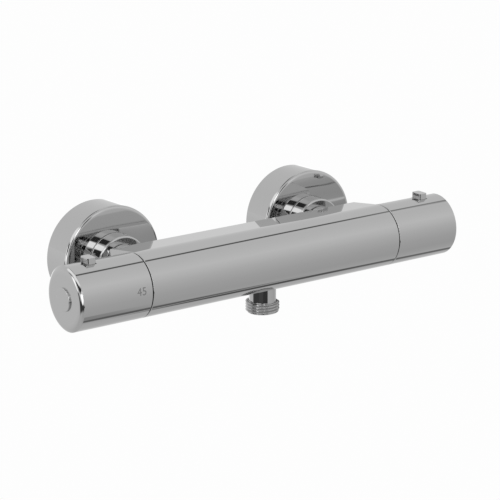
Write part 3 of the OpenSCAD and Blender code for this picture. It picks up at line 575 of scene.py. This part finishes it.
class Wire:
    """A socket that takes part in sums."""

    def __init__(self, graph, socket):
        self.graph = graph
        self.socket = socket

    def sum(self, operation, one, two):
        return self.graph.node("Math", {"operation": operation}, {0: one, 1: two})

    def __add__(self, other):
        return self.sum("ADD", self, other)

    def __sub__(self, other):
        return self.sum("SUBTRACT", self, other)

    def __rsub__(self, other):
        return self.sum("SUBTRACT", other, self)

    def __mul__(self, other):
        return self.sum("MULTIPLY", self, other)

    def __truediv__(self, other):
        return self.sum("DIVIDE", self, other)


class Graph:
    """The nodes of a finish or of the studio."""

    def __init__(self, tree):
        self.tree = tree
        tree.nodes.clear()

    def node(self, kind, settings=None, sockets=None, out=0):
        """Adds a node, sets it, wires its sockets and gives back one of its outputs."""
        made = self.tree.nodes.new("ShaderNode" + kind)
        for name, value in (settings or {}).items():
            if name == "stops":
                self.ramp(made.color_ramp, value)
            else:
                setattr(made, name, value)
        for name, value in (sockets or {}).items():
            if isinstance(value, Wire):
                self.tree.links.new(value.socket, made.inputs[name])
            else:
                made.inputs[name].default_value = value
        return Wire(self, made.outputs[out]) if made.outputs else made

    def ramp(self, ramp, stops):
        """Sets a ramp's (place, grey or colour) stops."""
        for place, _ in stops[2:]:
            ramp.elements.new(place)
        for element, (place, colour) in zip(ramp.elements, stops):
            element.position = place
            element.color = (*(colour if isinstance(colour, tuple) else (colour,) * 3), 1)


def finish(name, colour, metallic, build):
    """A procedural finish: build gives what varies over the surface."""
    material = bpy.data.materials.new(name)
    material.use_nodes = True
    graph = Graph(material.node_tree)
    place = graph.node("TexCoord", out="Object")
    sockets = {"Base Color": (*colour, 1), "Metallic": metallic}
    sockets.update(build(graph, place))
    shader = graph.node("BsdfPrincipled", None, sockets)
    graph.node("OutputMaterial", None, {"Surface": shader})
    material.diffuse_color = (*colour, 1)
    return material


def noise(graph, place, size, detail, roughness=0.5):
    """Soft random pattern whose grains are about size millimetres across."""
    return graph.node("TexNoise", None, {
        "Vector": place, "Scale": 1000 / size, "Detail": detail, "Roughness": roughness,
    })


def bump(graph, height, depth):
    """Normal from a height that runs from 0 to 1, depth in millimetres."""
    return graph.node("Bump", None, {"Height": height, "Distance": depth * MM, "Strength": 1.0})


def polished(low, high, wave):
    """Plated surface: faint smears in the gloss and a trace of polishing waves."""
    def build(graph, place):
        smear = noise(graph, place, size=18, detail=3)
        fine = noise(graph, place, size=2.2, detail=2)
        return {
            "Roughness": (smear * 0.7 + fine * 0.3) * (high - low) + low,
            "Normal": bump(graph, noise(graph, place, size=26, detail=1), wave),
        }
    return build


def spun_marks(graph, place):
    """Plated spun sheet: smears and waves somewhat finer than on the cast pieces."""
    smear = noise(graph, place, size=14, detail=3)
    fine = noise(graph, place, size=1.6, detail=2)
    return {
        "Roughness": (smear * 0.6 + fine * 0.4) * 0.03 + 0.035,
        "Normal": bump(graph, noise(graph, place, size=20, detail=1), 0.004),
    }


def machined(grain, depth, low, high):
    """Turned or drawn metal: short tool marks and an uneven gloss."""
    def build(graph, place):
        marks = noise(graph, place, size=grain, detail=4, roughness=0.6)
        stain = noise(graph, place, size=grain * 12, detail=2)
        return {
            "Roughness": (marks * 0.6 + stain * 0.4) * (high - low) + low,
            "Normal": bump(graph, marks, depth),
        }
    return build


def mottled(one, two, grain, depth, low, high):
    """Moulded or fired surface: colour and gloss vary slightly."""
    def build(graph, place):
        cloud = noise(graph, place, size=grain * 8, detail=2)
        pores = noise(graph, place, size=grain, detail=3, roughness=0.6)
        return {
            "Base Color": graph.node(
                "ValToRGB", {"stops": [(0.35, one), (0.65, two)]}, {"Fac": cloud}
            ),
            "Roughness": pores * (high - low) + low,
            "Normal": bump(graph, pores, depth),
        }
    return build


FINISHES = {
    "chrome": finish(
        "polished_chrome", (0.56, 0.56, 0.56), 1, polished(low=0.015, high=0.05, wave=0.002)),
    "spun_chrome": finish("spun_chrome", (0.56, 0.56, 0.56), 1, spun_marks),
    "chromed_plastic": finish(
        "chromed_moulding", (0.58, 0.58, 0.58), 1, polished(low=0.04, high=0.09, wave=0.003)),
    "brass": finish(
        "turned_brass", (0.66, 0.45, 0.17), 1,
        machined(grain=0.5, depth=0.004, low=0.2, high=0.42)),
    "copper": finish(
        "drawn_copper", (0.72, 0.36, 0.22), 1,
        machined(grain=0.7, depth=0.004, low=0.22, high=0.45)),
    "steel": finish(
        "stainless_steel", (0.5, 0.49, 0.47), 1,
        machined(grain=0.5, depth=0.003, low=0.2, high=0.4)),
    "spring_steel": finish(
        "drawn_spring_wire", (0.46, 0.45, 0.43), 1,
        machined(grain=0.4, depth=0.002, low=0.18, high=0.38)),
    "white_plastic": finish(
        "white_moulding", (0.74, 0.74, 0.72), 0,
        mottled(
            (0.71, 0.71, 0.69), (0.77, 0.77, 0.75), grain=0.6, depth=0.004, low=0.3, high=0.5)),
    "blue_plastic": finish(
        "blue_moulding", (0.05, 0.16, 0.45), 0,
        mottled(
            (0.045, 0.15, 0.42), (0.06, 0.18, 0.48), grain=0.6, depth=0.004, low=0.3, high=0.5)),
    "ceramic": finish(
        "fired_ceramic", (0.66, 0.64, 0.6), 0,
        mottled(
            (0.63, 0.61, 0.57), (0.69, 0.67, 0.63), grain=0.25, depth=0.002, low=0.15, high=0.32)),
    "rubber": finish(
        "black_rubber", (0.02, 0.02, 0.02), 0,
        mottled((0.016,) * 3, (0.028,) * 3, grain=0.4, depth=0.006, low=0.5, high=0.75)),
    "number_ink": finish(
        "number_ink", (0.22, 0.22, 0.22), 0,
        mottled((0.2,) * 3, (0.25,) * 3, grain=0.3, depth=0.001, low=0.3, high=0.5)),
}

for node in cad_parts.values():
    for place in node.material_slots:
        place.material = FINISHES[place.material.name]


# Pieces

piece(bar(), "bar_casting", "valve_body", "chrome", "body")
for side, kind, inlet in ((-1, "temperature", "hot"), (1, "flow", "cold")):
    knob = f"{kind}_knob"
    handle(side, f"{kind}_grip", knob, f"{kind}_handle")
    cap(side, f"{kind}_end_cap", knob, f"{kind}_handle_cap")
    softened(
        f"{kind}_stop_button", f"{kind}_stop_tab", f"{kind}_button", "chromed_plastic", TAB_EDGE
    )
    wall_plate(side, f"{inlet}_domed_plate", f"{inlet}_wall_plate")
    wall_union(side, f"{inlet}_eccentric_union", f"{inlet}_wall_union")
    union_nut(side, f"{inlet}_round_nut", f"{inlet}_union_nut")
outlet()
piece(
    dial_number("45", height=4.7, middle_x=-100.65, rise=6), "temperature_number",
    "temperature_knob", "chrome", finish="number_ink", even=False,
)


# Studio: a paper sweep that only the camera sees, and a tent of light that the object sees

FLOOR = -620
SWEEP_R = 6000
SWEEP_ROUND = 2500
SWEEP_TOP = 4000
PAPER = 0.985

stage = section(bmesh.new(), [
    (FLOOR, 0), (FLOOR, SWEEP_R, SWEEP_ROUND), (SWEEP_TOP, SWEEP_R),
], closed=False)
put(spun(stage, STAGE_ROUND), (0, 0, 0), UP, RIGHT)
mesh = bpy.data.meshes.new("paper_sweep")
bmesh.ops.recalc_face_normals(stage, faces=stage.faces)
stage.to_mesh(mesh)
stage.free()
mesh.shade_smooth()
sweep = bpy.data.objects.new("paper_sweep", mesh)
scene.collection.objects.link(sweep)
paper = bpy.data.materials.new("lit_paper")
paper.use_nodes = True
paper_nodes = Graph(paper.node_tree)
glow = paper_nodes.node("Emission", None, {"Color": (PAPER, PAPER, PAPER, 1), "Strength": 1.0})
paper_nodes.node("OutputMaterial", None, {"Surface": glow})
mesh.materials.append(paper)
sweep.visible_glossy = False
sweep.visible_diffuse = False
sweep.visible_transmission = False
sweep.visible_shadow = False

studio = bpy.data.worlds.new("studio")
studio.use_nodes = True
scene.world = studio
air = Graph(studio.node_tree)
look = air.node("TexCoord", out="Generated")
axes = air.node("SeparateXYZ", None, {"Vector": look}).socket.node
look_x, look_y, look_z = (Wire(air, axes.outputs[axis]) for axis in "XYZ")
# Where a direction lies round the bar (0 ahead, 90 overhead) and along it (90 to the right)
DEGREES = 180 / math.pi
ROUND_BAR = air.node("Math", {"operation": "ARCTAN2"}, {0: look_z, 1: look_y * -1}) * DEGREES
ALONG_BAR = air.node("Math", {"operation": "ARCSINE"}, {0: look_x}) * DEGREES


def strip(start, end, half_width, soft):
    """1 on a strip between two directions of the studio, fading to 0 over its soft edge."""
    run = Vector(end) - Vector(start)
    across = ROUND_BAR - start[0]
    along = ALONG_BAR - start[1]
    share = air.node("Clamp", None, {
        "Value": (across * run.x + along * run.y) / run.length_squared, "Min": 0.0, "Max": 1.0,
    })
    across = across - share * run.x
    along = along - share * run.y
    gap = air.node("Math", {"operation": "SQRT"}, {0: across * across + along * along})
    return air.node("MapRange", {"interpolation_type": "SMOOTHSTEP"}, {
        "Value": gap, "From Min": half_width - soft, "From Max": half_width + soft,
        "To Min": 1.0, "To Max": 0.0,
    })


# Brightness of the tent round the bar: degrees, brightness
TENT = [
    (-180, 0.80), (-150, 0.70), (-120, 0.60), (-97, 0.62), (-82, 0.56), (-62, 0.53),
    (-30, 0.575), (-7, 0.64), (8, 0.69), (23, 0.76), (42, 0.83), (68, 0.78), (88, 0.755),
    (113, 0.78), (150, 0.745), (180, 0.77),
]
# Dark gaps and bright lamps: from and to (degrees round the bar, degrees along it), half width
# and soft edge in degrees, brightness. A strip ends at 180 degrees and doesn't go on at -180.
STRIPS = [
    ((-164, -64), (-132, -66), 10, 4, 0.08),
    ((-132, -70), (-58, -73), 8, 3, 0.06),
    ((-58, -66), (-36, -62), 9, 4, 0.06),
    ((-16, 6), (-18.5, -33), 3, 1.5, 0.05),
    ((-18.5, -33), (-34, -60), 3.5, 2, 0.08),
    ((150, -60), (180, -61), 6.5, 2, 1.7),
    ((-180, -61), (-174, -61), 6.5, 2, 1.7),
    ((36, -50), (112, -49), 16, 4, 1.25),
    ((112, -47), (138, -36), 10, 3, 1.25),
    ((54, -73), (130, -74), 11, 2.5, 0.04),
    ((-26, -86), (19, -86), 21, 3, 2.0),
    ((-180, -93), (180, -93), 6, 2, 1.4),
    ((142, -54), (152, -47), 4, 2, 0.2),
    ((104, -18), (124, 7), 7, 4, 0.03),
    ((16, -35), (28, -35), 8.5, 1.5, 0.05),
    ((28, 14), (42, 10), 6, 4, 0.97),
    ((28, -4.5), (42, -5), 7.5, 1.5, 0.05),
    ((24, -18), (36, -24), 7, 1.5, 2.2),
    ((-172, 42), (-166, 0), 5, 4, 1.3),
    ((-60, 28.8), (-76, 29.6), 1.8, 1.2, 0.36),
    ((-76, 29.6), (-82, 32.4), 2.6, 1.4, 0.16),
    ((-89, 33.6), (-95, 35.6), 2.6, 1.2, 0.12),
    ((-95, 35.6), (-99, 37.6), 2.2, 1.0, 0.12),
    ((-99, 37.6), (-112, 41.5), 1.8, 1.2, 0.2),
    ((91, 24), (107, 38.6), 2.1, 1.1, 0.12),
    ((91, 24), (85, 4), 1.8, 1.2, 0.3),
    ((85, 4), (80, -30), 3, 2, 0.15),
    ((106, 39), (98, 42.5), 1.6, 1.4, 0.38),
]
light = air.node(
    "ValToRGB", {"stops": [(0.5 + spot / 360, grey) for spot, grey in TENT]},
    {"Fac": ROUND_BAR / 360 + 0.5},
)
for start, end, half_width, soft, grey in STRIPS:
    light = light + strip(start, end, half_width, soft) * (grey - light)
shine = air.node("Background", None, {"Color": light, "Strength": 1.0})
air.node("OutputWorld", None, {"Surface": shine})

# Camera, from the fit to the photo: where it aims, from which side and from how far
AIM = Vector((-9.7, -75.36, 13.49)) * MM
AWAY = Vector((-0.5637, -0.7777, 0.2782)).normalized()
DISTANCE = 1.31156

lens = bpy.data.cameras.new("camera")
lens.lens = 155.24
lens.sensor_width = 36
lens.clip_start = 0.05
lens.clip_end = 50
camera = bpy.data.objects.new("camera", lens)
scene.collection.objects.link(camera)
camera.location = AIM + AWAY * DISTANCE
camera.rotation_euler = AWAY.to_track_quat("Z", "Y").to_euler()
scene.camera = camera
